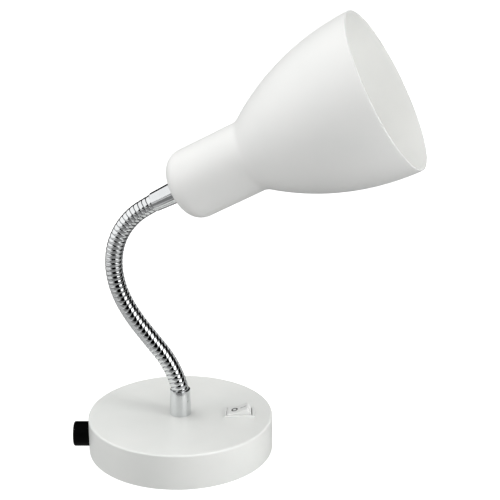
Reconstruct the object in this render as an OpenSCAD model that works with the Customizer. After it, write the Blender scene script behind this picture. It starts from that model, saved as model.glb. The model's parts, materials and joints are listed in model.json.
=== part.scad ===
// Gooseneck lamp with a round base, a rocker switch, a ribbed flexible arm and a bell shade.
// Millimetres. Z is the axis of the base and points away from its back face, which lies at Z = 0.
// The cord gland is on -X and the switch on +X. The arm bends in a plane turned about Z.

/* [Base] */
// Outside diameter of the round cover
base_d = 115; // [108:1:130]
// Height of the cover
base_h = 22.5; // [21:0.5:28]
// Sheet thickness of the cover
cover_wall = 1.2; // [0.8:0.1:1.6]
// Outside radius of the cover's top edge
cover_edge_r = 1.8; // [1.7:0.1:4]
// Thickness of the wall plate
plate_t = 2; // [1.5:0.1:2.4]
// Distance between the two wall slots
slot_spacing = 60; // [50:1:70]
// Width of a wall slot
slot_w = 5; // [4:0.2:6]
// End-to-end length of a wall slot
slot_l = 12; // [9:0.5:15]

/* [Switch] */
// Distance of the switch from the edge of the base
switch_inset = 20.6; // [18:0.1:23]
// Length of the switch bezel
bezel_l = 19; // [18:0.5:22]
// Width of the switch bezel
bezel_w = 14; // [13:0.5:16]
// Height of the bezel above the cover
bezel_h = 1.1; // [0.8:0.1:2.2]
// Angle between the rocker's two stops
rocker_throw = 34; // [28:1:40]

/* [Cord gland] */
// Outside diameter of the gland cap
gland_d = 15.5; // [15:0.5:17]
// Length of the cap outside the cover
gland_l = 9.8; // [9:0.2:14]
// Diameter of the cord hole
cord_hole_d = 7; // [5.5:0.5:8]

/* [Gooseneck] */
// Outside diameter over the ribs
hose_d = 10.8; // [10.4:0.2:12]
// Distance from rib to rib
rib_pitch = 2.97; // [2.8:0.01:3.1]
// Radius of the rounded ribs
rib_r = 1.25; // [1.15:0.05:1.35]
// Diameter of the passage for the lead
hose_bore_d = 6.8; // [6:0.2:7]
// Visible height of the lower ferrule
lower_ferrule_h = 16.5; // [10:0.5:25]
// Visible length of the upper ferrule
upper_ferrule_l = 17; // [12:0.5:22]
// Turn of the arm's plane about the base axis
arm_turn = -14; // [-90:1:90]

/* [Shade] */
// Length from the back of the neck to the rim
shade_l = 138.5; // [134:0.5:155]
// Outside diameter of the neck
neck_d = 43; // [40:0.2:46]
// Outside diameter of the rim
rim_d = 97.6; // [95:0.2:104]
// Wall of the shade
shade_wall = 1; // [0.8:0.1:1.4]
// Radius of the round back of the neck
back_corner_r = 11.5; // [9:0.5:13]
// Radius of the long curve of the bell
bell_r = 152; // [146:1:165]
// Radius of the hollow curve between neck and bell
fillet_r = 11; // [8:0.5:13]

/* [Lampholder and bulb] */
// Outside diameter of the lampholder
holder_d = 27; // [26:0.5:30]
// Diameter of the bulb
bulb_d = 45; // [42:0.5:46]

/* [Hidden] */
$fn = 96;

// Clearances that every fit shares
joint_gap = 0.3;
seat_gap = 0.05;
pin_gap = 0.05;
hole_gap = 0.25;
overcut = 1;

// Base
base_r = base_d / 2;
inner_r = base_r - cover_wall;
ceiling_z = base_h - cover_wall;
plate_gap = 0.4;
plate_r = inner_r - plate_gap;
ear_angles = [45, 135];
ear_w = 12;
ear_t = 1.6;
ear_h = 13;
ear_setback = 1.2;
ear_r = inner_r - ear_setback;
tongue_w = 8;
tongue_setback = 3.3;
tongue_r = inner_r - tongue_setback;
tongue_h = 7;
lug_w = 14;
lug_depth = 6.5;
lug_lift = 1.6;
lug_z = plate_t + lug_lift;
lug_h = 2.6;
screw_lift = 8;
screw_z = plate_t + screw_lift;
screw_r = 1.5;
screw_l = 8;
screw_head_r = 2.8;
screw_head_h = 1.6;

// Threaded tubes, washers and nuts at both ends of the arm
tube_r = 4.9;
washer_t = 1;
nut_h = 3;
base_washer_r = 9;
base_nut_af = 14;
head_washer_r = neck_d / 2 - back_corner_r - pin_gap;
head_nut_af = 12.4;
tube_drop = 12;

// Switch
switch_x = base_r - switch_inset;
bezel_edge = 1.5;
bezel_lap_l = 0.8;
bezel_lap_w = 1;
body_l = bezel_l - 2 * bezel_lap_l;
body_w = bezel_w - 2 * bezel_lap_w;
body_h = 12;
body_wall = 0.9;
well_l = bezel_l - 2 * bezel_edge;
well_w = body_w - 2 * body_wall;
body_floor = 1.5;
rocker_w = well_w - 2 * joint_gap;
rocker_sweep_r = well_l / 2 - joint_gap;
rocker_rise = 1.8;
rocker_mid_h = 3.4;
rocker_dish_r = 30;
rocker_depth = 3.2;
rocker_pivot_z = base_h + bezel_h + rocker_rise - rocker_mid_h;
pivot_pin_r = 1.2;
pivot_pin_l = 0.5;
blade_w = 4.8;
blade_t = 0.8;
blade_l = 5;
blade_x = 5;
stud_r = 1.4;
stud_h = 1.8;

// Terminal block
block_size = [20, 14, 11];
block_at = [-6, 28];
block_poles = 2;
block_wire_r = 1.7;
block_screw_r = 1.6;
block_hole_l = 4;
block_screw_l = 3;
block_pole_step = 9;

// Cord gland
gland_r = gland_d / 2;
gland_lift = 0.5;
gland_z = gland_lift + gland_r;
gland_wall = 2.9;
gland_thread_r = gland_r - gland_wall;
gland_edge_r = 1.2;
gland_end_t = 2.4;
gland_seal_t = 1.6;
gland_nut_lift = 0.4;
gland_nut_af = 2 * (gland_z - plate_t - gland_nut_lift);
gland_nut_h = 4;
gland_body_in = 9;
cord_hole_r = cord_hole_d / 2;

// Gooseneck: bends at rest, in degrees, from the base to the shade; positive leans to -X
rest_angles = [22, 18, -0.5, -10, -18.5, -21.5, -23.5, -22.5, -5];
link_count = len(rest_angles) - 1;
ribs_per_link = 6;
hose_r = hose_d / 2;
rib_depth = 0.75;
hose_root_r = hose_r - rib_depth;
hose_bore_r = hose_bore_d / 2;
link_l = ribs_per_link * rib_pitch;
cup_r = hose_r + joint_gap;
ferrule_lip = 0.8;
ferrule_r = hose_r + ferrule_lip;
ferrule_flare = 0.5;
ferrule_foot_r = ferrule_r + ferrule_flare;
ferrule_edge = 0.9;
cup_start = sqrt(pow(cup_r, 2) - pow(ferrule_r - ferrule_edge, 2));
first_gap = 1.4;
first_pivot_z = base_h + lower_ferrule_h + first_gap;

// Shade
neck_r = neck_d / 2;
rim_r = rim_d / 2;
bell_c = [rim_r - bell_r, shade_l];
fillet_dx = neck_r + fillet_r - bell_c[0];
neck_l = shade_l - sqrt(pow(bell_r + fillet_r, 2) - pow(fillet_dx, 2));
fillet_c = [neck_r + fillet_r, neck_l];

// Lampholder and bulb, measured from the back of the neck
holder_r = holder_d / 2;
holder_wall = 1.6;
cap_collar_r = 8;
nut_space = 1;
cap_z = shade_wall + washer_t + nut_h + nut_space;
cap_collar_h = 6;
cap_h = 16;
head_tube_l = cap_z + cap_collar_h;
body_z = cap_z + cap_h;
holder_body_h = 24;
lead_hole_r = 3.5;
socket_r = 7.05;
socket_wall = 0.4;
socket_floor = 2;
socket_lip = 1;
socket_h = holder_body_h - socket_floor - socket_lip;
spring_w = 5;
spring_t = 0.6;
bulb_r = bulb_d / 2;
bulb_cap_r = socket_r - joint_gap;
bulb_contact_r = 2.2;
bulb_contact_h = 1.5;
mouth_z = body_z + holder_body_h;
bulb_tip_z = body_z + socket_floor + spring_t;
collar_lift = 0.4;
collar_z = mouth_z + collar_lift;
collar_h = 22;
collar_flare = 2;
collar_foot_r = bulb_cap_r + collar_flare;
collar_step = 2.5;
collar_top_r = bulb_r - collar_step;
globe_z = collar_z + collar_h + sqrt(pow(bulb_r, 2) - pow(collar_top_r, 2));
globe_wall = 1;

// Direction and place of each joint of the arm at rest
function heading(k) = k == 0 ? rest_angles[0] : heading(k - 1) + rest_angles[k];

function pivot(k) =
    k == 0
        ? [0, 0, first_pivot_z]
        : pivot(k - 1) + link_l * [-sin(heading(k - 1)), 0, cos(heading(k - 1))];

module at_pivot(k) {
    rotate([0, 0, arm_turn])
        translate(pivot(k))
            rotate([0, -heading(k), 0])
                children();
}

module in_head() {
    at_pivot(link_count)
        translate([0, 0, upper_ferrule_l])
            children();
}

// A tube standing on Z, from one height to another
module ring(outer_r, inner_r, z, h) {
    translate([0, 0, z])
        difference() {
            cylinder(r = outer_r, h = h);
            translate([0, 0, -overcut])
                cylinder(r = inner_r, h = h + 2 * overcut);
        }
}

module hex_nut(across_flats, hole_r, z, h) {
    translate([0, 0, z])
        difference() {
            cylinder(r = across_flats / sqrt(3), h = h, $fn = 6);
            translate([0, 0, -overcut])
                cylinder(r = hole_r, h = h + 2 * overcut);
        }
}

// Base cover, with the hollow set in from the outside by the wall
module cover_outline(inset) {
    square([base_r - inset, base_h - cover_edge_r]);
    square([base_r - cover_edge_r, base_h - inset]);
    translate([base_r - cover_edge_r, base_h - cover_edge_r])
        circle(cover_edge_r - inset);
}

module cover_lug() {
    difference() {
        intersection() {
            translate([-lug_w / 2, -inner_r - cover_wall / 2, lug_z])
                cube([lug_w, lug_depth, lug_h]);
            cylinder(r = inner_r + cover_wall / 2, h = base_h);
        }
        translate([-tongue_w / 2 - hole_gap, -tongue_r - ear_t / 2 - hole_gap, 0])
            cube([tongue_w + 2 * hole_gap, ear_t + 2 * hole_gap, base_h]);
    }
}

module base_cover() {
    color("white")
        difference() {
            union() {
                rotate_extrude()
                    difference() {
                        cover_outline(0);
                        translate([0, -overcut])
                            square([inner_r, overcut + base_h - cover_edge_r]);
                        cover_outline(cover_wall);
                    }
                cover_lug();
            }
            translate([0, 0, ceiling_z - overcut])
                cylinder(r = tube_r + hole_gap, h = cover_wall + 2 * overcut);
            translate([switch_x - body_l / 2 - hole_gap, -body_w / 2 - hole_gap, ceiling_z - overcut])
                cube([body_l + 2 * hole_gap, body_w + 2 * hole_gap, cover_wall + 2 * overcut]);
            translate([-base_r - overcut, 0, gland_z])
                rotate([0, 90, 0])
                    cylinder(r = gland_thread_r + hole_gap, h = 3 * cover_wall + overcut);
            for (a = ear_angles)
                rotate([0, 0, a])
                    translate([inner_r - overcut, 0, screw_z])
                        rotate([0, 90, 0])
                            cylinder(r = screw_r + hole_gap, h = cover_wall + 2 * overcut);
        }
}

module wall_slot() {
    for (s = [-1, 1])
        translate([s * (slot_l - slot_w) / 2, 0, -overcut])
            cylinder(r = slot_w / 2, h = plate_t + 2 * overcut);
    translate([-(slot_l - slot_w) / 2, -slot_w / 2, -overcut])
        cube([slot_l - slot_w, slot_w, plate_t + 2 * overcut]);
}

module wall_plate() {
    color("silver")
        difference() {
            union() {
                cylinder(r = plate_r, h = plate_t);
                for (a = ear_angles)
                    rotate([0, 0, a])
                        translate([ear_r - ear_t, -ear_w / 2, 0])
                            cube([ear_t, ear_w, plate_t + ear_h]);
                translate([-tongue_w / 2, -tongue_r - ear_t / 2, 0])
                    cube([tongue_w, ear_t, plate_t + tongue_h]);
            }
            for (s = [-1, 1])
                translate([s * slot_spacing / 2, 0, 0])
                    wall_slot();
            for (a = ear_angles)
                rotate([0, 0, a])
                    translate([ear_r - ear_t - overcut, 0, screw_z])
                        rotate([0, 90, 0])
                            cylinder(r = screw_r + pin_gap, h = ear_t + 2 * overcut);
        }
}

module cover_screws() {
    color("gainsboro")
        for (a = ear_angles)
            rotate([0, 0, a])
                translate([base_r + seat_gap, 0, screw_z])
                    rotate([0, 90, 0]) {
                        cylinder(r = screw_head_r, h = screw_head_h);
                        translate([0, 0, -screw_l])
                            cylinder(r = screw_r, h = screw_l + screw_head_h / 2);
                    }
}

module at_poles() {
    for (p = [0 : block_poles - 1])
        translate([block_at[0] + (p - (block_poles - 1) / 2) * block_pole_step, block_at[1], plate_t])
            children();
}

module terminal_block() {
    color("ivory")
        difference() {
            translate([block_at[0] - block_size[0] / 2, block_at[1] - block_size[1] / 2, plate_t])
                cube(block_size);
            at_poles() {
                translate([0, block_size[1] / 2 + overcut, block_size[2] / 3])
                    rotate([90, 0, 0])
                        cylinder(r = block_wire_r, h = block_size[1] + 2 * overcut);
                translate([0, 0, block_size[2] - block_hole_l])
                    cylinder(r = block_screw_r + pin_gap, h = block_hole_l + overcut);
            }
        }
}

module terminal_screws() {
    color("goldenrod")
        at_poles()
            translate([0, 0, block_size[2] - block_hole_l + seat_gap])
                cylinder(r = block_screw_r, h = block_screw_l);
}

// Rocker switch
module switch_housing() {
    color("whitesmoke")
        difference() {
            union() {
                translate([switch_x - bezel_l / 2, -bezel_w / 2, base_h + seat_gap])
                    cube([bezel_l, bezel_w, bezel_h - seat_gap]);
                translate([switch_x - body_l / 2, -body_w / 2, base_h - body_h])
                    cube([body_l, body_w, body_h + bezel_h / 2]);
            }
            translate([switch_x - well_l / 2, -well_w / 2, base_h - body_h + body_floor])
                cube([well_l, well_w, body_h + bezel_h]);
            translate([switch_x, well_w / 2 + pivot_pin_l + pin_gap, rocker_pivot_z])
                rotate([90, 0, 0])
                    cylinder(r = pivot_pin_r + pin_gap, h = well_w + 2 * (pivot_pin_l + pin_gap));
        }
}

// Side view of the rocker about its pivot, with a slightly hollow face
module rocker_side() {
    difference() {
        intersection() {
            circle(rocker_sweep_r);
            translate([-rocker_sweep_r, -rocker_depth])
                square([2 * rocker_sweep_r, rocker_depth + rocker_sweep_r]);
        }
        translate([0, rocker_mid_h + rocker_dish_r])
            circle(rocker_dish_r);
    }
}

module switch_rocker() {
    color("white")
        translate([switch_x, 0, rocker_pivot_z])
            rotate([0, -rocker_throw / 2, 0])
                rotate([90, 0, 0]) {
                    translate([0, 0, -rocker_w / 2])
                        linear_extrude(height = rocker_w)
                            rocker_side();
                    translate([0, 0, -well_w / 2 - pivot_pin_l])
                        cylinder(r = pivot_pin_r, h = well_w + 2 * pivot_pin_l);
                }
}

module switch_contacts() {
    color("gold")
        for (s = [-1, 1])
            translate([switch_x + s * blade_x, 0, base_h - body_h + body_floor])
                cylinder(r = stud_r, h = stud_h);
}

module switch_terminals() {
    color("khaki")
        for (s = [-1, 1])
            translate([switch_x + s * blade_x - blade_t / 2, -blade_w / 2, base_h - body_h - blade_l])
                cube([blade_t, blade_w, blade_l]);
}

// Cord gland: its axis starts at the base axis and runs outwards along -X
module on_gland_axis() {
    translate([0, 0, gland_z])
        rotate([0, -90, 0])
            children();
}

module gland_cap_outline() {
    end_z = base_r + gland_l;
    difference() {
        union() {
            square([gland_r, end_z - gland_edge_r]);
            square([gland_r - gland_edge_r, end_z]);
            translate([gland_r - gland_edge_r, end_z - gland_edge_r])
                circle(gland_edge_r);
        }
        square([gland_thread_r + pin_gap, end_z - gland_end_t]);
        square([cord_hole_r, end_z + overcut]);
    }
}

module gland_cap() {
    color("black")
        difference() {
            on_gland_axis()
                rotate_extrude()
                    gland_cap_outline();
            cylinder(r = base_r + seat_gap, h = base_h);
        }
}

module gland_seal() {
    color("dimgray")
        on_gland_axis()
            ring(gland_thread_r, cord_hole_r, base_r + gland_l - gland_end_t - gland_seal_t, gland_seal_t);
}

module gland_body() {
    color("darkslategray")
        on_gland_axis()
            ring(
                gland_thread_r,
                cord_hole_r,
                inner_r - gland_body_in,
                cover_wall + gland_body_in + gland_l - gland_end_t - gland_seal_t
            );
}

module gland_nut() {
    nut_face = sqrt(pow(inner_r, 2) - pow(gland_nut_af / sqrt(3), 2)) - seat_gap;
    color("darkslategray")
        on_gland_axis()
            rotate([0, 0, 30])
                hex_nut(gland_nut_af, gland_thread_r + pin_gap, nut_face - gland_nut_h, gland_nut_h);
}

// Lower end of the arm
module lower_ferrule() {
    color("silver")
        rotate_extrude()
            difference() {
                intersection() {
                    union() {
                        translate([0, base_h - tube_drop])
                            square([tube_r, tube_drop + lower_ferrule_h]);
                        polygon([
                            [0, base_h],
                            [ferrule_foot_r, base_h],
                            [ferrule_r, base_h + lower_ferrule_h],
                            [0, base_h + lower_ferrule_h]
                        ]);
                        translate([0, base_h])
                            square([hose_root_r, lower_ferrule_h + first_gap]);
                        translate([0, first_pivot_z])
                            circle(hose_r);
                    }
                    square([base_r, first_pivot_z + hose_r]);
                }
                square([hose_bore_r, first_pivot_z + 2 * hose_r]);
            }
}

module base_washer() {
    color("gainsboro")
        ring(base_washer_r, tube_r + hole_gap, ceiling_z - washer_t, washer_t);
}

module base_nut() {
    color("silver")
        hex_nut(base_nut_af, tube_r + pin_gap, ceiling_z - washer_t - nut_h, nut_h);
}

// One stiff length of the ribbed hose: a cup below, ribs between, and a ball above
module link_outline() {
    difference() {
        intersection() {
            union() {
                square([hose_root_r, link_l]);
                for (i = [1 : ribs_per_link - 1])
                    translate([hose_r - rib_r, i * rib_pitch])
                        circle(rib_r);
                translate([0, link_l])
                    circle(hose_r);
            }
            square([hose_r + overcut, link_l + hose_r]);
        }
        circle(cup_r);
        square([hose_bore_r, link_l + 2 * hose_r]);
    }
}

module gooseneck_link(k) {
    color("lightgray")
        at_pivot(k - 1)
            rotate_extrude()
                link_outline();
}

// Upper end of the arm, with the tube that holds the shade and the lampholder
module upper_ferrule() {
    color("silver")
        at_pivot(link_count)
            rotate_extrude()
                difference() {
                    union() {
                        translate([0, cup_start])
                            square([ferrule_r, upper_ferrule_l - cup_start]);
                        translate([0, cup_start])
                            square([tube_r, upper_ferrule_l + head_tube_l - cup_start]);
                    }
                    circle(cup_r);
                    square([hose_bore_r, upper_ferrule_l + head_tube_l + overcut]);
                }
}

// Shade: neck and bell meet at neck_l, and each hollow is set in from the outside by the wall
module neck_outline(inset, top) {
    translate([0, back_corner_r])
        square([neck_r - inset, top - back_corner_r]);
    translate([0, inset])
        square([neck_r - back_corner_r, back_corner_r]);
    intersection() {
        translate([neck_r - back_corner_r, back_corner_r])
            circle(back_corner_r - inset);
        square([neck_r, 2 * back_corner_r]);
    }
}

module shade_neck() {
    color("white")
        in_head()
            rotate_extrude()
                difference() {
                    neck_outline(0, neck_l);
                    neck_outline(shade_wall, neck_l + overcut);
                    square([tube_r + hole_gap, 2 * shade_wall]);
                }
}

module bell_outline(inset, top) {
    touch = bell_c + (fillet_c - bell_c) * (bell_r - inset) / (bell_r + fillet_r);
    difference() {
        polygon([[0, neck_l], [neck_r - inset, neck_l], fillet_c, touch, [0, touch[1]]]);
        translate(fillet_c)
            circle(fillet_r + inset);
    }
    intersection() {
        translate(bell_c)
            circle(bell_r - inset);
        translate([0, touch[1]])
            square([rim_r + overcut, top - touch[1]]);
    }
}

module shade_bell() {
    color("white")
        in_head()
            rotate_extrude()
                difference() {
                    bell_outline(0, shade_l);
                    bell_outline(shade_wall, shade_l + overcut);
                    translate([0, neck_l - overcut])
                        square([neck_r - shade_wall, 2 * overcut]);
                }
}

module shade_washer() {
    color("gainsboro")
        in_head()
            ring(head_washer_r, tube_r + hole_gap, shade_wall, washer_t);
}

module shade_nut() {
    color("silver")
        in_head()
            hex_nut(head_nut_af, tube_r + pin_gap, shade_wall + washer_t, nut_h);
}

// Lampholder
module holder_cap() {
    color("ivory")
        in_head()
            rotate_extrude()
                difference() {
                    union() {
                        translate([0, cap_z])
                            square([cap_collar_r, cap_collar_h]);
                        translate([0, cap_z + cap_collar_h - holder_wall])
                            square([holder_r, cap_h - cap_collar_h + holder_wall]);
                    }
                    square([tube_r + pin_gap, body_z]);
                    translate([0, cap_z + cap_collar_h])
                        square([holder_r - holder_wall, cap_h]);
                }
}

module holder_body() {
    color("ivory")
        in_head()
            rotate_extrude()
                difference() {
                    translate([0, body_z])
                        square([holder_r, holder_body_h]);
                    translate([0, body_z + socket_floor])
                        square([socket_r + socket_wall + seat_gap, holder_body_h]);
                    translate([0, body_z - overcut])
                        square([lead_hole_r, holder_body_h]);
                }
}

module holder_shell() {
    color("gold")
        in_head()
            ring(socket_r + socket_wall, socket_r, body_z + socket_floor, socket_h);
}

module holder_spring() {
    color("goldenrod")
        in_head()
            translate([-socket_r + seat_gap, -spring_w / 2, body_z + socket_floor])
                intersection() {
                    cube([2 * socket_r, spring_w, spring_t]);
                    translate([socket_r - seat_gap, spring_w / 2, 0])
                        cylinder(r = socket_r - seat_gap, h = spring_t);
                }
}

// Bulb
module bulb_contact() {
    color("silver")
        in_head()
            translate([0, 0, bulb_tip_z])
                cylinder(r = bulb_contact_r, h = bulb_contact_h);
}

module bulb_cap() {
    color("lightgray")
        in_head()
            translate([0, 0, bulb_tip_z + bulb_contact_h])
                cylinder(r = bulb_cap_r, h = collar_z - bulb_tip_z - bulb_contact_h);
}

module bulb_collar() {
    color("whitesmoke")
        in_head()
            translate([0, 0, collar_z])
                cylinder(r1 = collar_foot_r, r2 = collar_top_r, h = collar_h);
}

module bulb_globe() {
    color("mintcream")
        in_head()
            rotate_extrude()
                intersection() {
                    translate([0, globe_z])
                        difference() {
                            circle(bulb_r);
                            circle(bulb_r - globe_wall);
                        }
                    translate([0, collar_z + collar_h])
                        square([bulb_r, 2 * bulb_r]);
                }
}

base_cover();
wall_plate();
cover_screws();
terminal_block();
terminal_screws();
switch_housing();
switch_rocker();
switch_contacts();
switch_terminals();
gland_cap();
gland_seal();
gland_body();
gland_nut();
lower_ferrule();
base_washer();
base_nut();
for (k = [1 : link_count])
    gooseneck_link(k);
upper_ferrule();
shade_neck();
shade_bell();
shade_washer();
shade_nut();
holder_cap();
holder_body();
holder_shell();
holder_spring();
bulb_contact();
bulb_cap();
bulb_collar();
bulb_globe();
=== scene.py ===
import json
import math

import bmesh
import bpy
import numpy as np
from mathutils import Matrix, Vector

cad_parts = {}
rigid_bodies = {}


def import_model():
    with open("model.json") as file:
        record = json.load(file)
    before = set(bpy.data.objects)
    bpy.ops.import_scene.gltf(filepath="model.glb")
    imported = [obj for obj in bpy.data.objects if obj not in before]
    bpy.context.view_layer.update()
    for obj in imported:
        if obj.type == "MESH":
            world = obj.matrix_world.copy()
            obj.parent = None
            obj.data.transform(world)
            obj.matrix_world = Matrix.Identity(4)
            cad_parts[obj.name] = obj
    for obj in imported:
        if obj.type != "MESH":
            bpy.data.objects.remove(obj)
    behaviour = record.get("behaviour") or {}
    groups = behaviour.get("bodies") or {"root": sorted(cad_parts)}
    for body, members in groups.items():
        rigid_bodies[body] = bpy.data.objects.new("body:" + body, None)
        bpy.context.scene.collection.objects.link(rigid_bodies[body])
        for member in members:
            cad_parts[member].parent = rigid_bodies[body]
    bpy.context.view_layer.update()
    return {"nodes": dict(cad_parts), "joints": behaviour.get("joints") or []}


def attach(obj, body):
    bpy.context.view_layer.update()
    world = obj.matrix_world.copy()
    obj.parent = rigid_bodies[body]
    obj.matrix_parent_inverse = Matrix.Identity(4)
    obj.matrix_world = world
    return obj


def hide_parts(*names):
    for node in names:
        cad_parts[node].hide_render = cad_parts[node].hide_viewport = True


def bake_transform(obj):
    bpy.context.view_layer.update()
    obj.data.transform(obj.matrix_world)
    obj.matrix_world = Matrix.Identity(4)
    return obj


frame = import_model()
nodes = frame["nodes"]
scene = bpy.context.scene
mm = 0.001

# camera

photoView = {
    "at": (0.0435, -0.7396, 0.3797),
    "tilt": 71.36,  # degrees from straight down
    "lens": 93.6,
    "sensor": 36.0,
}
camera = bpy.data.objects.new("camera", bpy.data.cameras.new("camera"))
camera.data.lens = photoView["lens"]
camera.data.sensor_width = photoView["sensor"]
camera.location = photoView["at"]
camera.rotation_euler = (math.radians(photoView["tilt"]), 0, 0)
scene.collection.objects.link(camera)
scene.camera = camera
print("camera: placed")

# finishes

noise = {"detail": 3.0, "roughness": 0.55, "low": 0.3, "high": 0.7}  # low to high is its useful range


def hexLinear(code):  # sRGB hex to the linear values that a shader takes
    parts = [int(code[k:k + 2], 16) / 255 for k in (1, 3, 5)]
    return tuple(c / 12.92 if c <= 0.04045 else ((c + 0.055) / 1.055) ** 2.4 for c in parts) + (1.0,)


def perMetre(sizeMm):  # texture scale for a pattern of that size, as object coordinates are metres
    return 1000.0 / sizeMm


def addNode(tree, kind, settings, inputs):  # an input is a value or another node's output
    node = tree.nodes.new(kind)
    for name, value in settings.items():
        setattr(node, name, value)
    for name, value in inputs.items():
        if isinstance(value, bpy.types.NodeSocket):
            tree.links.new(value, node.inputs[name])
        else:
            node.inputs[name].default_value = value
    return node


def cloudedFinish(name, constants, look):  # constants sit on the shader's own sockets
    finish = bpy.data.materials.new(name)
    finish.use_nodes = True
    tree = finish.node_tree
    shader = next(n for n in tree.nodes if n.type == "BSDF_PRINCIPLED")
    for socket, value in constants.items():
        shader.inputs[socket].default_value = value
    where = addNode(tree, "ShaderNodeTexCoord", {}, {}).outputs["Object"]
    clouds = {}
    for size in ("cloudMm", "glossMm", "grainMm"):
        clouds[size] = addNode(tree, "ShaderNodeTexNoise", {}, {
            "Vector": where, "Scale": perMetre(look[size]), "Detail": noise["detail"],
            "Roughness": noise["roughness"]}).outputs["Fac"]

    # two close colours in soft clouds
    tint = addNode(tree, "ShaderNodeValToRGB", {}, {"Fac": clouds["cloudMm"]})
    for stop, place, code in zip(tint.color_ramp.elements, ("low", "high"), (look["dark"], look["light"])):
        stop.position = noise[place]
        stop.color = hexLinear(code)
    colour = tint.outputs["Color"]
    if "mark" in look:  # another colour where the mesh carries that mark
        mark, code = look["mark"]
        share = addNode(tree, "ShaderNodeAttribute", {"attribute_name": mark}, {})
        mixed = addNode(tree, "ShaderNodeMix", {"data_type": "RGBA"}, {
            0: share.outputs["Fac"], 6: colour, 7: hexLinear(code)})  # 6 and 7 are its two colours
        colour = mixed.outputs[2]  # their mix
    tree.links.new(colour, shader.inputs["Base Color"])

    # an uneven gloss and a fine relief
    spread = addNode(tree, "ShaderNodeMapRange", {}, {
        "Value": clouds["glossMm"], "From Min": noise["low"], "From Max": noise["high"],
        "To Min": look["rough"][0], "To Max": look["rough"][1]})
    tree.links.new(spread.outputs["Result"], shader.inputs["Roughness"])
    relief = addNode(tree, "ShaderNodeBump", {}, {
        "Height": clouds["grainMm"], "Strength": look["relief"], "Distance": look["reliefMm"] * mm})
    tree.links.new(relief.outputs["Normal"], shader.inputs["Normal"])
    return finish


# Sprayed satin lacquer on pressed steel: near white, soft gloss, a trace of orange peel.
# Real peel is about 1 mm across and is drawn at 1.4 mm so that it shows.
lacquerSteel = cloudedFinish("lacquer_on_steel", {"IOR": 1.5, "Metallic": 0.0}, {
    "dark": "#e6e8e5", "light": "#ecedea", "cloudMm": 45.0, "glossMm": 6.0, "rough": (0.30, 0.36),
    "grainMm": 1.4, "relief": 0.05, "reliefMm": 0.05})

# The same lacquer on spun aluminium: a flatter gloss, with the grain of the metal faint under the paint.
# That grain is about 0.3 mm in metal and is drawn at 1.6 mm so that it shows.
# The rim's bead is greyed by painted shade, which dims its highlight.
lacquerShade = cloudedFinish("lacquer_on_spun_aluminium", {"IOR": 1.5, "Metallic": 0.0}, {
    "dark": "#ebecea", "light": "#f0f0ee", "cloudMm": 55.0, "glossMm": 7.0, "rough": (0.40, 0.48),
    "grainMm": 1.6, "relief": 0.04, "reliefMm": 0.05, "mark": ("rim", "#dddedc")})

# Chrome plate on wound steel wire: a clear dark mirror, with painted shade darkening the grooves.
chromeHose = cloudedFinish("chrome_on_wound_wire", {"Metallic": 1.0}, {
    "dark": "#d9dbdc", "light": "#e6e8e9", "cloudMm": 9.0, "glossMm": 1.5, "rough": (0.06, 0.11),
    "grainMm": 0.6, "relief": 0.03, "reliefMm": 0.02, "mark": ("groove", "#34373a")})

# Chrome plate on turned tube: the same mirror, slightly greyer and hazed by handling.
chromeTube = cloudedFinish("chrome_on_turned_tube", {"Metallic": 1.0}, {
    "dark": "#d3d5d6", "light": "#dfe1e2", "cloudMm": 14.0, "glossMm": 2.0, "rough": (0.08, 0.13),
    "grainMm": 0.5, "relief": 0.02, "reliefMm": 0.02})

# Moulded black nylon: deep black with a fine spark-eroded grain that takes the shine off.
blackNylon = cloudedFinish("moulded_black_nylon", {
    "IOR": 1.53, "Metallic": 0.0, "Specular IOR Level": 0.05}, {
    "dark": "#020202", "light": "#050505", "cloudMm": 6.0, "glossMm": 1.2, "rough": (0.48, 0.58),
    "grainMm": 0.5, "relief": 0.10, "reliefMm": 0.04})

# Moulded rubber of the seal: dull black.
blackRubber = cloudedFinish("moulded_rubber", {"IOR": 1.5, "Metallic": 0.0}, {
    "dark": "#0d0d0d", "light": "#151515", "cloudMm": 5.0, "glossMm": 1.0, "rough": (0.68, 0.80),
    "grainMm": 0.4, "relief": 0.10, "reliefMm": 0.04})

# Moulded white ABS of the switch: a little greyer than the lacquer, slightly rippled by the mould.
whiteAbs = cloudedFinish("moulded_white_abs", {"IOR": 1.54, "Metallic": 0.0}, {
    "dark": "#e1e2e0", "light": "#e7e8e6", "cloudMm": 8.0, "glossMm": 2.0, "rough": (0.30, 0.36),
    "grainMm": 0.8, "relief": 0.04, "reliefMm": 0.02})

# Pad-printed ink of the marks: charcoal, flat.
markInk = cloudedFinish("printed_ink", {"IOR": 1.45, "Metallic": 0.0}, {
    "dark": "#141515", "light": "#222323", "cloudMm": 0.8, "glossMm": 0.6, "rough": (0.5, 0.6),
    "grainMm": 0.3, "relief": 0.05, "reliefMm": 0.01})

# Bright zinc plate on steel sheet and screws: bluish grey, blotchy, with a soft shine.
zincSteel = cloudedFinish("zinc_plated_steel", {"Metallic": 1.0}, {
    "dark": "#a3a8ab", "light": "#bfc3c5", "cloudMm": 4.0, "glossMm": 2.0, "rough": (0.30, 0.45),
    "grainMm": 0.7, "relief": 0.06, "reliefMm": 0.03})

# Stamped brass: warm yellow, dulled by handling.
stampedBrass = cloudedFinish("stamped_brass", {"Metallic": 1.0}, {
    "dark": "#b8924a", "light": "#d4b068", "cloudMm": 3.0, "glossMm": 1.5, "rough": (0.30, 0.42),
    "grainMm": 0.5, "relief": 0.05, "reliefMm": 0.02})

# Moulded thermoset of the lampholder and the terminal block: ivory, nearly matt.
ivoryThermoset = cloudedFinish("ivory_thermoset", {"IOR": 1.55, "Metallic": 0.0}, {
    "dark": "#d9d4c2", "light": "#e2decd", "cloudMm": 6.0, "glossMm": 1.5, "rough": (0.42, 0.52),
    "grainMm": 0.6, "relief": 0.06, "reliefMm": 0.03})

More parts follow.
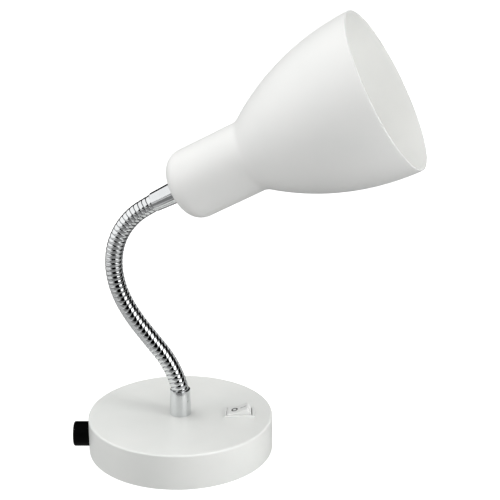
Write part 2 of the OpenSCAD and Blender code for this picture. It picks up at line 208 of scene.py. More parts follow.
# Rolled nickelled aluminium of the bulb cap: pale metal, slightly clouded.
bulbMetal = cloudedFinish("rolled_bulb_cap_metal", {"Metallic": 1.0}, {
    "dark": "#b9b9b6", "light": "#cdcdca", "cloudMm": 3.0, "glossMm": 1.0, "rough": (0.30, 0.40),
    "grainMm": 0.4, "relief": 0.05, "reliefMm": 0.02})

# Moulded polycarbonate collar of the bulb: white, satin.
bulbPlastic = cloudedFinish("moulded_bulb_collar", {"IOR": 1.58, "Metallic": 0.0}, {
    "dark": "#e4e3de", "light": "#ebeae6", "cloudMm": 10.0, "glossMm": 2.0, "rough": (0.36, 0.46),
    "grainMm": 0.7, "relief": 0.05, "reliefMm": 0.03})

# Opal polycarbonate globe: milky, with light bleeding a few millimetres into it.
opalGlobe = cloudedFinish("opal_globe", {
    "IOR": 1.58, "Metallic": 0.0, "Subsurface Weight": 0.25, "Subsurface Scale": 0.004}, {
    "dark": "#f0efea", "light": "#f5f4f0", "cloudMm": 15.0, "glossMm": 4.0, "rough": (0.30, 0.38),
    "grainMm": 1.2, "relief": 0.03, "reliefMm": 0.02})
print("finishes:", len(bpy.data.materials))

nodeFinishes = {
    zincSteel: ["wall_plate", "base_washer", "base_nut", "shade_washer", "shade_nut"],
    blackNylon: ["gland_cap", "gland_body", "gland_nut"],
    blackRubber: ["gland_seal"],
    ivoryThermoset: ["terminal_block", "holder_cap"],
    stampedBrass: ["terminal_screws", "switch_contacts", "switch_terminals", "holder_shell", "holder_spring"],
    bulbMetal: ["bulb_contact", "bulb_cap"],
}
for finish, names in nodeFinishes.items():
    for name in names:
        nodes[name].data.materials.clear()
        nodes[name].data.materials.append(finish)

# shared shaping

shaping = {
    "sharpDeg": 32.0,  # an edge that turns further keeps a hard shade
    "edgeSteps": 6,
    "around": 96,
    "rodAround": 48,
    "weld": 0.00001,  # mm, joins points that meet on the axis
    "sliver": 0.002,  # mm, joins points where a cut meets a corner
}


def roundedLoop(corners, steps=shaping["edgeSteps"]):
    # closed outline of (r, z, corner radius) with its corners turned into arcs
    line = []
    count = len(corners)
    for k, (x, y, radius) in enumerate(corners):
        here = Vector((x, y))
        if radius <= 0:
            line.append((x, y))
            continue
        back = (Vector(corners[k - 1][:2]) - here).normalized()
        ahead = (Vector(corners[(k + 1) % count][:2]) - here).normalized()
        half = back.angle(ahead) / 2
        reach = radius / math.tan(half)
        centre = here + (back + ahead).normalized() * (radius / math.sin(half))
        first = here + back * reach - centre
        last = here + ahead * reach - centre
        swing = first.angle_signed(last)
        for i in range(steps + 1):
            turned = Matrix.Rotation(-swing * i / steps, 2) @ first
            line.append(tuple(centre + turned))
    return line


def arcLine(centre, radius, fromDeg, toDeg, steps):
    return [(centre[0] + radius * math.cos(a), centre[1] + radius * math.sin(a))
            for a in np.radians(np.linspace(fromDeg, toDeg, steps + 1))]


def stacked(rings, closed=False):  # rings of points in mm, joined in order; an open stack gets two caps
    form = bmesh.new()
    rows = [[form.verts.new(Vector(p) * mm) for p in ring] for ring in rings]
    count = len(rows[0])
    for here, there in zip(rows, rows[1:] + rows[:1] if closed else rows[1:]):
        for i in range(count):
            j = (i + 1) % count
            form.faces.new((here[i], here[j], there[j], there[i]))
    if not closed:
        form.faces.new(rows[0][::-1])
        form.faces.new(rows[-1])
    return form


def spun(loop, around=shaping["around"]):  # closed outline of (r, z) in mm, turned about Z
    form = stacked([[(r * math.cos(a), r * math.sin(a), z) for r, z in loop]
                    for a in np.linspace(0, 2 * math.pi, around, endpoint=False)], closed=True)
    bmesh.ops.remove_doubles(form, verts=form.verts[:], dist=shaping["weld"] * mm)
    return form


def block(low, high):  # box between two corners in mm, for carving
    return stacked([[(low[0], low[1], z), (high[0], low[1], z), (high[0], high[1], z), (low[0], high[1], z)]
                    for z in (low[2], high[2])])


def rod(radius, start, end, around=shaping["rodAround"]):  # round bar along Z in mm
    return spun([(0, start), (radius, start), (radius, end), (0, end)], around)


def addPiece(name, form, finish, place=None, sharpDeg=shaping["sharpDeg"]):
    bmesh.ops.recalc_face_normals(form, faces=form.faces[:])
    mesh = bpy.data.meshes.new(name)
    form.to_mesh(mesh)
    form.free()
    if place is not None:
        mesh.transform(place)
    mesh.shade_smooth()
    mesh.set_sharp_from_angle(angle=math.radians(sharpDeg))
    mesh.materials.append(finish)
    piece = bpy.data.objects.new(name, mesh)
    scene.collection.objects.link(piece)
    return piece


def carve(piece, tools):  # each tool is (operation, form, place)
    for operation, form, place in tools:
        tool = addPiece("tool", form, piece.data.materials[0], place)
        step = piece.modifiers.new("carve", "BOOLEAN")
        step.object = tool
        step.operation = operation
        step.solver = "EXACT"
        piece.data = bpy.data.meshes.new_from_object(
            piece.evaluated_get(bpy.context.evaluated_depsgraph_get()))
        piece.modifiers.clear()
        bpy.data.objects.remove(tool)
    form = bmesh.new()
    form.from_mesh(piece.data)
    bmesh.ops.remove_doubles(form, verts=form.verts[:], dist=shaping["sliver"] * mm)
    form.to_mesh(piece.data)
    form.free()
    piece.data.shade_smooth()
    piece.data.set_sharp_from_angle(angle=math.radians(shaping["sharpDeg"]))


# base cover

cover = {
    "radius": 57.5,
    "height": 22.5,
    "wall": 1.2,
    "edge": 1.2,  # outside radius of the top edge
    "edgeSteps": 10,
    "footEdge": 0.15,
    "flat": 0.4,  # narrow rings beside the round edge, so that its shading ends there
    "tubeHole": 5.15,
    "switchHole": (27.95, 6.25, 45.85),  # from X, half width, to X
    "glandHole": (5.1, 8.25),  # radius and height
    "glandAngle": 180,
    "screwHole": (1.75, 10.0),
    "screwAngles": (45, 135),
    "lug": ((-7.0, -56.9, 3.6), (7.0, -50.4, 6.2)),
    "lugSlot": ((-4.25, -54.05, 3.0), (4.25, -51.95, 7.0)),
    "reach": 4.0,  # length of the carving tools on either side of the sheet
    "around": 192,
}
coverInside = cover["radius"] - cover["wall"]
ceiling = cover["height"] - cover["wall"]
coverPiece = addPiece("base_cover_shell", spun(roundedLoop([
    (cover["tubeHole"], ceiling, 0),
    (coverInside, ceiling, cover["edge"] - cover["wall"]),
    (coverInside, 0, cover["footEdge"]),
    (cover["radius"], 0, cover["footEdge"]),
    (cover["radius"], cover["height"] - cover["edge"] - cover["flat"], 0),
    (cover["radius"], cover["height"], cover["edge"]),
    (cover["radius"] - cover["edge"] - cover["flat"], cover["height"], 0),
    (cover["tubeHole"], cover["height"], 0),
], cover["edgeSteps"]), cover["around"]), lacquerSteel)
switchFrom, switchHalf, switchTo = cover["switchHole"]
tools = [("DIFFERENCE", block((switchFrom, -switchHalf, ceiling - cover["reach"]),
                              (switchTo, switchHalf, cover["height"] + cover["reach"])), None)]
wallHoles = [(cover["glandHole"], cover["glandAngle"])]
wallHoles += [(cover["screwHole"], angle) for angle in cover["screwAngles"]]
alongX = Matrix.Rotation(math.pi / 2, 4, "Y")
for (radius, z), angle in wallHoles:
    wallRod = rod(radius, coverInside - cover["reach"], cover["radius"] + cover["reach"])
    turn = Matrix.Rotation(math.radians(angle), 4, "Z")
    tools.append(("DIFFERENCE", wallRod, turn @ Matrix.Translation((0, 0, z * mm)) @ alongX))
tools += [("UNION", block(*cover["lug"]), None), ("DIFFERENCE", block(*cover["lugSlot"]), None)]
carve(coverPiece, tools)
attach(coverPiece, "base")
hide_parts("base_cover")
print("base cover: pressed and pierced")

# gooseneck

hose = {
    "crestRadius": 5.4,
    "crown": 0.14,  # fall of the rounded wire from its crest to its edges
    "grooveCut": 0.24,  # further fall into the groove
    "grooveFrom": 0.86,  # share of the half pitch where the groove starts
    "grooveCurve": 1.5,  # power that rounds its side
    "packedFrom": 0.45,  # inside a bend, where the turns press together and look rounder
    "packedCut": 0.16,
    "openShade": 0.25,  # share of the painted groove shade that shows outside a bend
    "tightest": 0.022,  # bend in 1/mm where the turns are packed
    "probe": 2.0,  # length either side that gives the hose's direction and bend
    "boreRadius": 3.4,
    "pitch": 2.97,
    "rowShares": (0.0, 0.035, 0.08, 0.15, 0.25, 0.37, 0.5, 0.63, 0.75, 0.85, 0.92, 0.965),  # of one turn
    "columns": 48,
    "sharpDeg": 75.0,
    "pointsPerBend": 60,
    "hiddenEnd": 3.0,  # length inside each ferrule before the bend starts
    "lowerMouth": 37.5,  # height where the hose starts to lean
    "upperMouth": 4.0,  # from the last pivot
    "blendInset": 2.8,  # length either side of the middle of a link, from which each piece's start and end are worked out
    "armTurn": -14.0,
    "headLean": 61.5,  # of the shade's axis from upright
}
neckJoints = [j for j in frame["joints"] if j["name"].startswith("neck_")]
pivots = [Vector(j["pos_m"]) / mm for j in neckJoints]
armTurn = Matrix.Rotation(math.radians(hose["armTurn"]), 4, "Z")
headTurn = armTurn @ Matrix.Rotation(math.radians(hose["headLean"]), 4, "Y")
upright = Vector((0, 0, 1))
headAxis = headTurn @ upright
bendAxis = armTurn @ Vector((0, 1, 0))

midLinks = [(a + b) / 2 for a, b in zip(pivots, pivots[1:])]
linkAxes = [(b - a).normalized() for a, b in zip(pivots, pivots[1:])]
lowerEnd = Vector((0, 0, hose["lowerMouth"]))
upperEnd = pivots[-1] + headAxis * hose["upperMouth"]
knots = [lowerEnd] + midLinks + [upperEnd]

# centre line: straight in the ferrules, and one smooth bend at each pivot
centreLine = [lowerEnd - upright * hose["hiddenEnd"]]
knotIndex = []
for start, corner, end in zip(knots, pivots, knots[1:]):
    knotIndex.append(len(centreLine))
    for t in np.linspace(0, 1, hose["pointsPerBend"], endpoint=False):
        centreLine.append(start * (1 - t) ** 2 + corner * (2 * t * (1 - t)) + end * t ** 2)
centreLine += [upperEnd, upperEnd + headAxis * hose["hiddenEnd"]]
centreLine = np.array(centreLine)
runs = np.concatenate([[0], np.cumsum(np.linalg.norm(np.diff(centreLine, axis=0), axis=1))])
rowsPerTurn, columns, pitch = len(hose["rowShares"]), hose["columns"], hose["pitch"]


def onHose(run):  # centre, the direction across the hose in the arm's plane, and the bend towards that side
    behind, point, ahead = (
        Vector([np.interp(s, runs, centreLine[:, k]) for k in range(3)])
        for s in (run - hose["probe"], run, run + hose["probe"]))
    side = bendAxis.cross(ahead - behind).normalized()
    return point, side, (ahead + behind - 2 * point).dot(side) / hose["probe"] ** 2


def rowRun(row, column):  # the winding climbs one pitch in a turn
    turns, k = divmod(row, rowsPerTurn)
    return pitch * (turns + hose["rowShares"][k] + column / columns)


def hosePiece(name, fromTurn, toTurn):
    # a length of the winding, cut along its groove: wire outside, plain bore inside, closed at both ends
    form = bmesh.new()
    # the groove layer carries painted shade, darkest inside a bend where the turns pack
    grooveShade = form.verts.layers.float.new("groove")
    skin = {}

    def corner(row, column, inside):
        if column == columns:
            row, column = row + rowsPerTurn, 0
        key = (row, column, inside)
        if key not in skin:
            point, side, bend = onHose(rowRun(row, column))
            angle = 2 * math.pi * column / columns
            packed = min(1.0, max(0.0, bend * math.cos(angle) / hose["tightest"]))
            edge = abs(2 * hose["rowShares"][row % rowsPerTurn] - 1)
            grooveFrom = hose["grooveFrom"] + (hose["packedFrom"] - hose["grooveFrom"]) * packed
            sunk = max(0.0, (edge - grooveFrom) / (1 - grooveFrom))
            groove = (hose["grooveCut"] + hose["packedCut"] * packed) * sunk ** hose["grooveCurve"]
            wireRadius = hose["crestRadius"] - hose["crown"] * edge ** 2 - groove
            outward = side * math.cos(angle) + bendAxis * math.sin(angle)
            radius = hose["boreRadius"] if inside else wireRadius
            vert = form.verts.new((point + outward * radius) * mm)
            # painted shade: dark in the grooves, darker still inside a bend
            vert[grooveShade] = 0.0 if inside else sunk * (hose["openShade"] + (1 - hose["openShade"]) * packed)
            skin[key] = vert
        return skin[key]

    edges = {}
    for row in range(fromTurn * rowsPerTurn, toTurn * rowsPerTurn):
        for column in range(columns):
            keys = [(row, column), (row, column + 1), (row + 1, column + 1), (row + 1, column)]
            form.faces.new([corner(r, c, False) for r, c in keys])
            form.faces.new([corner(r, c, True) for r, c in keys[::-1]])
            for a, b in zip(keys, keys[1:] + keys[:1]):
                a, b = [(r + rowsPerTurn, 0) if c == columns else (r, c) for r, c in (a, b)]
                if (b, a) in edges:
                    del edges[b, a]
                else:
                    edges[a, b] = True
    for a, b in edges:  # what is left is the open edge at either end
        form.faces.new((corner(*b, False), corner(*a, False), corner(*a, True), corner(*b, True)))
    return addPiece(name, form, chromeHose, sharpDeg=hose["sharpDeg"])


# a cut climbs one turn, so it starts half a turn before its place
lastTurn = int(runs[-1] / pitch) - 1
cutTurns = [0] + [round(runs[k] / pitch - 0.5) for k in knotIndex[1:]] + [lastTurn]
chain = [neckJoints[0]["parent"]] + [j["child"] for j in neckJoints]
lastPiece = len(chain) - 2
for k in range(lastPiece + 1):
    piece = hosePiece("hose_%d" % (k + 1), cutTurns[k], cutTurns[k + 1])
    start = lowerEnd if k == 0 else midLinks[k - 1] + linkAxes[k - 1] * hose["blendInset"]
    end = upperEnd if k == lastPiece else midLinks[k] - linkAxes[k] * hose["blendInset"]
    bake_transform(piece)
    if k < lastPiece:
        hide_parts("gooseneck_link_%d" % (k + 1))
print("gooseneck: %.0f mm, %d turns of wire" % (runs[-1], lastTurn))

# ferrules

ferrule = {
    "foot": 6.7,
    "radius": 6.2,
    "sleeve": 5.5,  # bore over the hose
    "sleeveDepth": 4.2,
    "tube": 4.9,
    "bore": 3.4,
    "lowerFrom": 22.5,
    "lowerTo": 39.0,
    "tubeDrop": 12.0,
    "upperFrom": -0.1,  # from the last pivot
    "upperMouth": 5.9,
    "upperTo": 17.0,
    "upperTube": 29.0,
    "lipEdge": 0.08,
    "footEdge": 0.15,
    "tubeEdge": 0.3,
    "around": 128,
}
tubeFoot = ferrule["lowerFrom"] - ferrule["tubeDrop"]
lowerSleeve = ferrule["lowerTo"] - ferrule["sleeveDepth"]
lowerFerrule = addPiece("lower_ferrule_chrome", spun(roundedLoop([
    (ferrule["bore"], tubeFoot, 0),
    (ferrule["tube"], tubeFoot, ferrule["tubeEdge"]),
    (ferrule["tube"], ferrule["lowerFrom"], 0),
    (ferrule["foot"], ferrule["lowerFrom"], ferrule["footEdge"]),
    (ferrule["radius"], ferrule["lowerTo"], ferrule["lipEdge"]),
    (ferrule["sleeve"], ferrule["lowerTo"], ferrule["lipEdge"]),
    (ferrule["sleeve"], lowerSleeve, 0),
    (ferrule["bore"], lowerSleeve, 0),
]), ferrule["around"]), chromeTube)
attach(lowerFerrule, "base")
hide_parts("lower_ferrule")

lastPivot = Matrix.Translation(pivots[-1] * mm) @ headTurn
upperSleeve = ferrule["upperFrom"] + ferrule["sleeveDepth"]
upperFerrule = addPiece("upper_ferrule_chrome", spun(roundedLoop([
    (ferrule["bore"], upperSleeve, 0),
    (ferrule["sleeve"], upperSleeve, 0),
    (ferrule["sleeve"], ferrule["upperFrom"], ferrule["lipEdge"]),
    (ferrule["upperMouth"], ferrule["upperFrom"], ferrule["lipEdge"]),
    (ferrule["foot"], ferrule["upperTo"], 0),
    (ferrule["tube"], ferrule["upperTo"], 0),
    (ferrule["tube"], ferrule["upperTube"], ferrule["tubeEdge"]),
    (ferrule["bore"], ferrule["upperTube"], 0),
]), ferrule["around"]), chromeTube, lastPivot)
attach(upperFerrule, "head")
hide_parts("upper_ferrule")
print("ferrules: two")

# shade

bell = {
    "length": 138.5,
    "neck": 21.5,
    "rim": 48.8,
    "wall": 1.0,
    "backCorner": 11.5,
    "bellRadius": 152.0,
    "fillet": 11.0,
    "hole": 5.15,
    "cornerSteps": 16,
    "filletSteps": 14,
    "bellSteps": 44,
    "rimSteps": 8,
    "rimShadeFrom": 0.1,  # height on the rim's bead where the painted shade starts
    "around": 192,
}
headPlace = lastPivot @ Matrix.Translation((0, 0, ferrule["upperTo"] * mm))
bellCentre = (bell["rim"] - bell["bellRadius"], bell["length"])
filletSpan = bell["neck"] + bell["fillet"] - bellCentre[0]
filletCentre = (bell["neck"] + bell["fillet"],
                bellCentre[1] - math.sqrt((bell["bellRadius"] + bell["fillet"]) ** 2 - filletSpan ** 2))
meetDeg = math.degrees(math.atan2(filletCentre[1] - bellCentre[1], filletCentre[0] - bellCentre[0]))


def bellLine(inset):  # one face of the sheet, from the hole at the back to the rim
    corner = (bell["neck"] - bell["backCorner"], bell["backCorner"])
    return ([(bell["hole"], inset)]
            + arcLine(corner, bell["backCorner"] - inset, -90, 0, bell["cornerSteps"])
            + arcLine(filletCentre, bell["fillet"] + inset, 180, 180 + meetDeg, bell["filletSteps"])
            + arcLine(bellCentre, bell["bellRadius"] - inset, meetDeg, 0, bell["bellSteps"])[1:])


half = bell["wall"] / 2
beadFrom = bell["length"] - half
rimBead = arcLine((bell["rim"] - half, beadFrom), half, 0, 180, bell["rimSteps"])
outside = bellLine(0.0)[:-1] + [(bell["rim"], beadFrom)]
inside = bellLine(bell["wall"])[:-1] + [(bell["rim"] - bell["wall"], beadFrom)]
shadeForm = spun(outside + rimBead[1:-1] + inside[::-1], bell["around"])
# painted shade on the rim's bead, carried by the rim mark
rimShadeLayer = shadeForm.verts.layers.float.new("rim")
for vert in shadeForm.verts:
    vert[rimShadeLayer] = float(vert.co.z > (beadFrom + bell["rimShadeFrom"]) * mm)
shade = addPiece("shade_shell", shadeForm, lacquerShade, headPlace)
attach(shade, "head")
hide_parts("shade_neck", "shade_bell")
print("shade: spun")

# rocker switch

switch = {
    "x": 36.9,
    "top": 23.6,
    "seat": 22.55,
    "bezel": (9.5, 7.0),  # half sizes
    "body": (8.7, 6.0),
    "well": (8.0, 5.1),
    "bodyFrom": 10.5,
    "wellFloor": 12.0,
    "bezelCorner": 0.9,
    "bodyCorner": 0.3,
    "wellCorner": 0.35,
    "edge": 0.45,
    "lip": 0.2,
    "edgeSteps": 5,
}
quarterTurn = np.linspace(0, math.pi / 2, switch["edgeSteps"] + 1)


def frameRing(halfSize, corner, z):  # rounded rectangle round the switch, as points in mm
    ring = []
    for quarter, (sx, sy) in enumerate(((1, 1), (-1, 1), (-1, -1), (1, -1))):
        for a in quarterTurn + quarter * math.pi / 2:
            ring.append((switch["x"] + sx * (halfSize[0] - corner) + corner * math.cos(a),
                         sy * (halfSize[1] - corner) + corner * math.sin(a), z))
    return ring


def shrunk(halfSize, by):
    return (halfSize[0] - by, halfSize[1] - by)


rings = [
    frameRing(switch["body"], switch["bodyCorner"], switch["bodyFrom"]),
    frameRing(switch["body"], switch["bodyCorner"], switch["seat"]),
    frameRing(switch["bezel"], switch["bezelCorner"], switch["seat"]),
]
for a in quarterTurn:
    rings.append(frameRing(shrunk(switch["bezel"], switch["edge"] * (1 - math.cos(a))), switch["bezelCorner"],
                           switch["top"] - switch["edge"] * (1 - math.sin(a))))
for a in quarterTurn:
    rings.append(frameRing(shrunk(switch["well"], -switch["lip"] * (1 - math.sin(a))), switch["wellCorner"],
                           switch["top"] - switch["lip"] * (1 - math.cos(a))))
rings.append(frameRing(switch["well"], switch["wellCorner"], switch["wellFloor"]))
housing = addPiece("switch_bezel", stacked(rings), whiteAbs)
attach(housing, "base")
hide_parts("switch_housing")

rocker = {
    "pivotZ": 22.0,
    "leftEnd": (7.9, 6.71),  # radius about the pivot, and where the face meets the round end
    "rightEnd": (7.5, 6.30),
    "width": 9.6,
    "middle": 3.4,  # height of the face over the pivot
    "hollow": 30.0,  # radius of the face
    "tilt": 17.0,
    "tipEdge": 0.3,
    "depth": 3.2,
    "edge": 0.4,
    "endSteps": 10,
    "faceSteps": 60,
    "pinRadius": 1.2,
    "pinReach": 5.6,
    "pinAround": 32,
    "inkLift": 0.02,
    "inkThick": 0.03,
    "ringAt": -2.14,
    "ringRadii": (1.2, 2.05),
    "ringSteps": 48,
    "barFrom": 1.63,
    "barTo": 5.7,
    "barWidth": 0.4,
    "barSteps": 15,
}


def rockerTop(x):  # height of the hollow face over the pivot
    return rocker["middle"] + rocker["hollow"] - math.sqrt(rocker["hollow"] ** 2 - x ** 2)


def drawnIn(line, by):  # the outline moved inwards by the same distance all round
    moved = []
    for i, p in enumerate(line):
        along = (line[(i + 1) % len(line)] - line[i - 1]).normalized()
        moved.append(p + Vector((-along.y, along.x)) * by)
    return moved


def endArc(sweep, tipX):  # a round end, from its foot to just below the face
    footDeg = -math.degrees(math.asin(rocker["depth"] / sweep))
    topDeg = math.degrees(math.asin((rockerTop(tipX) - rocker["tipEdge"]) / sweep))
    return arcLine((0, 0), sweep, footDeg, topDeg, rocker["endSteps"])


faceFrom, faceTo = (rocker[end][1] - rocker["tipEdge"] for end in ("rightEnd", "leftEnd"))
sideLine = [Vector(p) for p in (
    endArc(*rocker["rightEnd"])
    + [(x, rockerTop(x)) for x in np.linspace(faceFrom, -faceTo, rocker["faceSteps"] + 1)]
    + [(-x, z) for x, z in reversed(endArc(*rocker["leftEnd"]))])]
rings = []
for side, sweep in ((-1, quarterTurn), (1, quarterTurn[::-1])):
    for a in sweep:
        y = side * (rocker["width"] / 2 - rocker["edge"] * (1 - math.cos(a)))
        rings.append([(p.x, y, p.y) for p in drawnIn(sideLine, rocker["edge"] * (1 - math.sin(a)))])
rockerForm = stacked(rings)
pinForm = rod(rocker["pinRadius"], -rocker["pinReach"], rocker["pinReach"], rocker["pinAround"])
pinMesh = bpy.data.meshes.new("pin")
pinForm.to_mesh(pinMesh)
pinForm.free()
pinMesh.transform(Matrix.Rotation(math.pi / 2, 4, "X"))
rockerForm.from_mesh(pinMesh)
bpy.data.meshes.remove(pinMesh)
restTilt = (Matrix.Translation((switch["x"] * mm, 0, rocker["pivotZ"] * mm))
            @ Matrix.Rotation(math.radians(-rocker["tilt"]), 4, "Y"))
rockerPiece = addPiece("switch_rocker_cap", rockerForm, whiteAbs, restTilt)
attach(rockerPiece, "rocker")
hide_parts("switch_rocker")


def printMark(name, pairs, closed):  # a strip of ink that follows the hollow face, between pairs of points
    top = rocker["inkLift"]
    bottom = top - rocker["inkThick"]
    sections = []
    for pair in pairs:
        corners = zip(pair + pair[::-1], (top, top, bottom, bottom))
        sections.append([(x, y, rockerTop(x) + lift) for (x, y), lift in corners])
    mark = addPiece(name, stacked(sections, closed), markInk, restTilt)
    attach(mark, "rocker")


ringPairs = [[(rocker["ringAt"] + r * math.cos(a), r * math.sin(a)) for r in rocker["ringRadii"]]
             for a in np.linspace(0, 2 * math.pi, rocker["ringSteps"], endpoint=False)]
printMark("mark_ring", ringPairs, True)
barPairs = [[(x, -rocker["barWidth"] / 2), (x, rocker["barWidth"] / 2)]
            for x in np.linspace(rocker["barFrom"], rocker["barTo"], rocker["barSteps"] + 1)]
printMark("mark_bar", barPairs, False)
print("switch: bezel, rocker and marks")

# cover screws

screw = {
    "radius": 57.55,  # of the heads' seats from the lamp's axis
    "head": 2.8,
    "headHeight": 1.6,
    "domeRadius": 2.96,
    "domeDegs": (90, 38),
    "domeSteps": 8,
    "headEdge": 0.15,
    "shank": 1.5,
    "length": 8.0,
    "point": 0.5,
    "crossWidth": 0.7,
    "crossReach": 3.2,
    "crossDepth": 0.9,
    "around": 64,
}
domeCentre = (0, screw["headHeight"] - screw["domeRadius"])
screwLine = arcLine(domeCentre, screw["domeRadius"], *screw["domeDegs"], screw["domeSteps"]) + [
    (screw["head"], screw["headEdge"]),
    (screw["head"] - screw["headEdge"], 0),
    (screw["shank"], 0),
    (screw["shank"], screw["point"] - screw["length"]),
    (screw["shank"] - screw["point"], -screw["length"]),
    (0, -screw["length"]),
]
arm, slit = screw["crossReach"] / 2, screw["crossWidth"] / 2
crossLine = [(arm, slit), (slit, slit), (slit, arm), (-slit, arm), (-slit, slit), (-arm, slit),
             (-arm, -slit), (-slit, -slit), (-slit, -arm), (slit, -arm), (slit, -slit), (arm, -slit)]
for index, angle in enumerate(cover["screwAngles"]):
    piece = addPiece("cover_screw_%d" % (index + 1), spun(screwLine, screw["around"]), zincSteel)
    cross = stacked([[(x, y, screw["headHeight"] + z) for x, y in crossLine]
                     for z in (-screw["crossDepth"], screw["crossDepth"])])
    carve(piece, [("DIFFERENCE", cross, None)])
    turn = Matrix.Rotation(math.radians(angle), 4, "Z")
    seat = Matrix.Translation((screw["radius"] * mm, 0, cover["screwHole"][1] * mm))
    piece.data.transform(turn @ seat @ alongX)
    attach(piece, "base")
    if index == 0:
        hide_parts("cover_screws")
print("cover screws: two")

# lampholder and bulb

holder = {
    "radius": 13.5,
    "from": 22.0,
    "to": 46.0,
    "socket": 7.5,
    "floor": 24.0,
    "leadHole": 3.5,
    "footEdge": 0.3,
    "mouthEdge": 0.8,
    "socketEdge": 0.5,
    "grooves": (29.0, 33.0, 37.0),  # finger grooves round the body
    "grooveDepth": 0.7,
    "grooveHalf": (0.8, 0.4),  # at the surface and at the bottom
    "grooveEdge": 0.2,
    "edgeSteps": 4,
}
holderLine = [(holder["leadHole"], holder["from"], 0), (holder["radius"], holder["from"], holder["footEdge"])]
grooveFloor = holder["radius"] - holder["grooveDepth"]
wide, narrow = holder["grooveHalf"]
for z in holder["grooves"]:
    holderLine += [(r, z + shift, holder["grooveEdge"]) for r, shift in (
        (holder["radius"], -wide), (grooveFloor, -narrow), (grooveFloor, narrow), (holder["radius"], wide))]
holderLine += [
    (holder["radius"], holder["to"], holder["mouthEdge"]),
    (holder["socket"], holder["to"], holder["socketEdge"]),
    (holder["socket"], holder["floor"], 0),
    (holder["leadHole"], holder["floor"], 0),
]
holderForm = spun(roundedLoop(holderLine, holder["edgeSteps"]))
holderBody = addPiece("lampholder_body", holderForm, ivoryThermoset, headPlace)
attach(holderBody, "head")
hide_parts("holder_body")

collar = {
    "foot": 8.75,
    "top": 20.0,
    "from": 46.4,
    "to": 68.4,
    "belly": 0.48,  # swell of the flank
    "flankEnd": 66.8,
    "flankSteps": 23,
    "seam": (67.1, 67.6, 67.8),  # a shallow groove below the globe
    "seamDepth": 0.5,
}
flank = []
for t in np.linspace(0, 1, collar["flankSteps"] + 1):
    bow = collar["belly"] * 4 * t * (1 - t)
    flank.append((collar["foot"] + (collar["top"] - collar["foot"]) * t + bow,
                  collar["from"] + (collar["flankEnd"] - collar["from"]) * t - bow))
seamRadius = collar["top"] - collar["seamDepth"]
seamFrom, seamTo, seamTop = collar["seam"]
collarLine = [(0, collar["from"])] + flank + [
    (seamRadius, seamFrom),
    (seamRadius, seamTo),
    (collar["top"], seamTop),
    (collar["top"], collar["to"]),
    (0, collar["to"]),
]
bulbCollar = addPiece("bulb_collar_shell", spun(collarLine), bulbPlastic, headPlace)
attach(bulbCollar, "head")
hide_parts("bulb_collar")

globe = {
    "radius": 22.5,
    "wall": 1.0,
    "steps": 48,
}
globeRise = math.sqrt(globe["radius"] ** 2 - collar["top"] ** 2)  # of its centre over the collar
globeCentre = (0, collar["to"] + globeRise)
globeInside = globe["radius"] - globe["wall"]
outerFoot, innerFoot = (-math.degrees(math.asin(globeRise / r)) for r in (globe["radius"], globeInside))
globeLine = (arcLine(globeCentre, globe["radius"], outerFoot, 90, globe["steps"])
             + arcLine(globeCentre, globeInside, 90, innerFoot, globe["steps"]))
bulbGlobe = addPiece("bulb_globe_shell", spun(globeLine), opalGlobe, headPlace)
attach(bulbGlobe, "head")
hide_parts("bulb_globe")
print("lampholder and bulb: dressed")

# stage

# Pale paper: it glows by itself, so that shadows on it stay faint.
paperWhite = hexLinear("#ffffff")
paleFloor = cloudedFinish("pale_paper", {
    "Metallic": 0.0, "Specular IOR Level": 0.0, "Emission Color": paperWhite, "Emission Strength": 1.0}, {
    "dark": "#a2a2a1", "light": "#a6a6a5", "cloudMm": 400.0, "glossMm": 50.0, "rough": (0.85, 0.95),
    "grainMm": 30.0, "relief": 0.0, "reliefMm": 0.01})
paper = {"flat": 4.0, "half": 8.0, "rise": 3.0, "cells": 64}  # metres: flat round the lamp, then curving up
floorForm = bmesh.new()
bmesh.ops.create_grid(floorForm, x_segments=paper["cells"], y_segments=paper["cells"], size=paper["half"])
for vert in floorForm.verts:
    beyond = max(0.0, vert.co.length - paper["flat"]) / (paper["half"] - paper["flat"])
    vert.co.z = paper["rise"] * beyond ** 2
floor = addPiece("floor", floorForm, paleFloor)
floor.visible_diffuse = False  # the lights below stand in for what the floor gives back
floor.visible_glossy = False
floor.visible_shadow = False

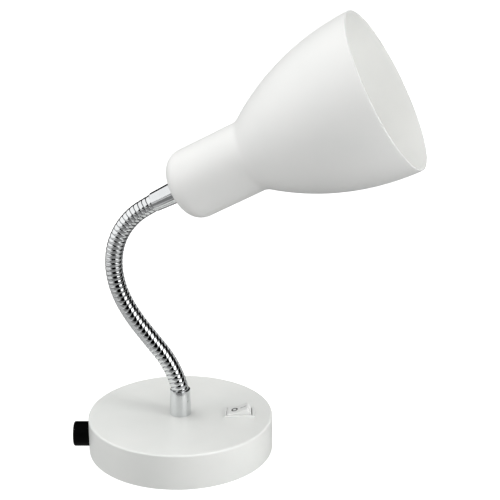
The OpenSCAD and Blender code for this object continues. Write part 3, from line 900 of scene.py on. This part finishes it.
lampMiddle = (0.03, 0.0, 0.12)
faceUp = (math.pi, 0, 0)
worldGlow = 0.4
lights = {  # for the matt surfaces
    "key": {"at": (-0.50, 0.35, 1.15), "size": (0.7, 0.7), "glow": 2.0},
    "top": {"at": (0.0, 0.0, 1.30), "size": (0.8, 0.8), "glow": 2.0},
    "front": {"at": (0.10, -1.20, 0.50), "size": (0.8, 0.8), "glow": 1.76},
    "right": {"at": (0.95, -0.40, 0.35), "size": (0.4, 0.9), "glow": 5.6},
    "left": {"at": (-1.50, -0.10, 0.60), "size": (2.0, 1.4), "glow": 1.14},
}
cards = {  # only the shiny surfaces see these: wide on the left, tall at the front right, dim behind
    "leftCard": {"at": (-0.90, -0.05, 0.50), "size": (1.9, 1.05), "glow": 1.16},
    "softCard": {"at": (0.61, -0.57, 0.54), "size": (0.6, 1.1), "glow": 2.0},
    "backCard": {"at": (0.54, 0.68, 0.15), "size": (0.85, 0.5), "glow": 0.6},
}
floorCards = {  # grey ones under the lamp, for what the chrome sees of the floor
    "leftFloor": {"at": (-0.865, -0.20, -0.01), "size": (1.07, 1.4), "glow": 0.58},
    "middleFloor": {"at": (0.105, -0.10, -0.012), "size": (1.11, 0.8), "glow": 0.24},
    "nearFloor": {"at": (-0.15, 0.08, -0.014), "size": (0.2, 0.44), "glow": 0.30},
    "rightFloor": {"at": (0.24, -0.20, -0.016), "size": (0.3, 0.34), "glow": 0.42},
}
for name, look in {**lights, **cards, **floorCards}.items():
    lamp = bpy.data.lights.new(name, "AREA")
    lamp.shape = "RECTANGLE"
    lamp.size, lamp.size_y = look["size"]
    lamp.energy = look["glow"] * math.pi * lamp.size * lamp.size_y
    lampObject = bpy.data.objects.new(name, lamp)
    lampObject.location = look["at"]
    aim = Vector(lampMiddle) - Vector(look["at"])
    lampObject.rotation_euler = faceUp if name in floorCards else aim.to_track_quat("-Z", "Y").to_euler()
    lampObject.visible_camera = False
    lampObject.visible_diffuse = name in lights
    lampObject.visible_glossy = name not in lights
    scene.collection.objects.link(lampObject)

world = bpy.data.worlds.new("studio")
world.use_nodes = True
scene.world = world
background = next(n for n in world.node_tree.nodes if n.type == "BACKGROUND")
background.inputs["Color"].default_value = paperWhite
background.inputs["Strength"].default_value = worldGlow
world.cycles_visibility.glossy = False
scene.view_settings.view_transform = "Standard"
print("stage: floor and lights")
